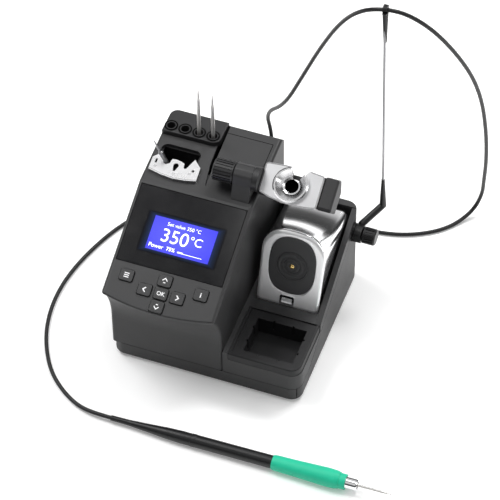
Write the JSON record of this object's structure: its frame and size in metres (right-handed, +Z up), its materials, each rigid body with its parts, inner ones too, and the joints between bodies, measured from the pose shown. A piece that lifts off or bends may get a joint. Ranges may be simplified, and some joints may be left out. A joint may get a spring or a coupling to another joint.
{
  "type": "soldering station",
  "caption": "Soldering station with a sloped display console, tool holder, tip cleaner hood, cable arm and a corded soldering iron lying in front.",
  "frame": {"origin": "centre of the base footprint, on the table under the rubber feet", "axes": "+Z up, +X to the right seen from the front, +Y to the rear; the display looks to -Y and up"},
  "size_m": [0.3058, 0.3007, 0.2972],
  "materials": {
    "housing_dark": "fine texture",
    "base_dark": "fine texture",
    "rubber_black": "matte",
    "steel_dark": "zinc",
    "window_gloss": "gloss",
    "screen_blue": "backlit",
    "key_dark": "satin",
    "rack_dark": "fine texture",
    "cartridge_steel": "polished",
    "plate_steel": "satin",
    "chrome_bright": "polished",
    "board_green": "satin",
    "copper_coil": "taped",
    "alu_fins": "satin",
    "brass": "bright",
    "membrane_grey": "matte",
    "cord_black": "satin",
    "handle_black": "satin",
    "grip_green": "soft touch"
  },
  "bodies": {
    "station": {"base_tray": "base_dark", "rubber_feet": "rubber_black", "base_screws": "steel_dark", "display_window": "window_gloss", "screen_module": "screen_blue", "cartridge_rack": "rack_dark", "rack_sleeves": "rack_dark", "extractor_cup": "rack_dark", "extractor_plate": "plate_steel", "console_housing": "housing_dark", "rear_panel": "base_dark", "mains_inlet": "rack_dark", "inlet_pins": "brass", "switch_frame": "rack_dark", "ground_jack": "brass", "tool_socket": "steel_dark", "fuse_cap": "rack_dark", "tool_plug": "steel_dark", "tool_plug_relief": "cord_black", "main_board": "board_green", "board_parts": "rack_dark", "transformer": "copper_coil", "transformer_bolt": "steel_dark", "heat_sink": "alu_fins", "stand_housing": "housing_dark", "wool_cup": "rack_dark", "brass_wool": "brass", "holder_ear": "housing_dark", "arm_stud": "rack_dark", "cord_upper": "cord_black", "cord_lower": "cord_black"},
    "key_menu": {"key_menu": "key_dark"},
    "key_info": {"key_info": "key_dark"},
    "key_up": {"key_up": "key_dark"},
    "key_down": {"key_down": "key_dark"},
    "key_left": {"key_left": "key_dark"},
    "key_ok": {"key_ok": "key_dark"},
    "key_right": {"key_right": "key_dark"},
    "rocker": {"switch_rocker": "key_dark"},
    "spill": {"spill_tray": "housing_dark"},
    "hood": {"cleaning_hood": "chrome_bright", "wool_membrane": "membrane_grey", "tip_wiper": "chrome_bright"},
    "stored_a": {"cartridge_a": "cartridge_steel"},
    "stored_b": {"cartridge_b": "cartridge_steel"},
    "spare": {"spare_cartridge": "cartridge_steel"},
    "holder": {"holder_shaft": "steel_dark", "holder_body": "rack_dark", "holder_plate": "plate_steel", "holder_cone": "chrome_bright"},
    "holder_lock": {"holder_knob": "rack_dark"},
    "arm": {"cable_arm": "handle_black", "arm_rod": "steel_dark", "cable_clip": "handle_black"},
    "arm_lock": {"arm_knob": "rack_dark"},
    "iron": {"iron_strain_relief": "cord_black", "iron_handle": "handle_black", "iron_grip": "grip_green", "iron_nose": "chrome_bright"},
    "iron_tip": {"iron_cartridge": "cartridge_steel"}
  },
  "joints": [
    {"name": "key_menu_press", "type": "slide", "parent": "station", "child": "key_menu", "axis": [0, 0.4195, -0.9078], "range_m": [0, 0.0006], "stiffness_N_per_m": 1500, "springref_m": -0.0002},
    {"name": "key_info_press", "type": "slide", "parent": "station", "child": "key_info", "axis": [0, 0.4195, -0.9078], "range_m": [0, 0.0006], "stiffness_N_per_m": 1500, "springref_m": -0.0002},
    {"name": "key_up_press", "type": "slide", "parent": "station", "child": "key_up", "axis": [0, 0.4195, -0.9078], "range_m": [0, 0.0006], "stiffness_N_per_m": 1500, "springref_m": -0.0002},
    {"name": "key_down_press", "type": "slide", "parent": "station", "child": "key_down", "axis": [0, 0.4195, -0.9078], "range_m": [0, 0.0006], "stiffness_N_per_m": 1500, "springref_m": -0.0002},
    {"name": "key_left_press", "type": "slide", "parent": "station", "child": "key_left", "axis": [0, 0.4195, -0.9078], "range_m": [0, 0.0006], "stiffness_N_per_m": 1500, "springref_m": -0.0002},
    {"name": "key_ok_press", "type": "slide", "parent": "station", "child": "key_ok", "axis": [0, 0.4195, -0.9078], "range_m": [0, 0.0006], "stiffness_N_per_m": 1500, "springref_m": -0.0002},
    {"name": "key_right_press", "type": "slide", "parent": "station", "child": "key_right", "axis": [0, 0.4195, -0.9078], "range_m": [0, 0.0006], "stiffness_N_per_m": 1500, "springref_m": -0.0002},
    {"name": "rocker_turn", "type": "hinge", "parent": "station", "child": "rocker", "pos_m": [-0.044, 0.0677, 0.09], "axis": [1, 0, 0], "range_deg": [-14, 0]},
    {"name": "spill_lift", "type": "slide", "parent": "station", "child": "spill", "axis": [0, 0, 1], "range_m": [0, 0.03]},
    {"name": "hood_slide", "type": "slide", "parent": "station", "child": "hood", "axis": [0, -0.866, 0.5], "range_m": [0, 0.064]},
    {"name": "stored_a_lift", "type": "slide", "parent": "station", "child": "stored_a", "axis": [0, 0, 1], "range_m": [0, 0.05]},
    {"name": "stored_b_lift", "type": "slide", "parent": "station", "child": "stored_b", "axis": [0, 0, 1], "range_m": [0, 0.05]},
    {"name": "spare_pull", "type": "slide", "parent": "station", "child": "spare", "axis": [-0.4067, 0, 0.9135], "range_m": [0, 0.03]},
    {"name": "holder_tilt", "type": "hinge", "parent": "station", "child": "holder", "pos_m": [0, 0.0145, 0.142], "axis": [1, 0, 0], "range_deg": [-15, 15]},
    {"name": "holder_lock_turn", "type": "hinge", "parent": "station", "child": "holder_lock", "pos_m": [0, 0.0145, 0.142], "axis": [1, 0, 0], "range_deg": [-90, 90]},
    {"name": "arm_swing", "type": "hinge", "parent": "station", "child": "arm", "pos_m": [0.075, 0.0565, 0.061], "axis": [1, 0, 0], "range_deg": [-30, 0]},
    {"name": "arm_lock_turn", "type": "hinge", "parent": "station", "child": "arm_lock", "pos_m": [0.085, 0.0565, 0.061], "axis": [1, 0, 0], "range_deg": [-90, 90]},
    {"name": "iron_lift", "type": "slide", "parent": "station", "child": "iron", "axis": [0, 0, 1], "range_m": [0, 0.05]},
    {"name": "iron_tip_pull", "type": "slide", "parent": "iron", "child": "iron_tip", "axis": [0.9998, 0, 0.0175], "range_m": [0, 0.045]}
  ]
}
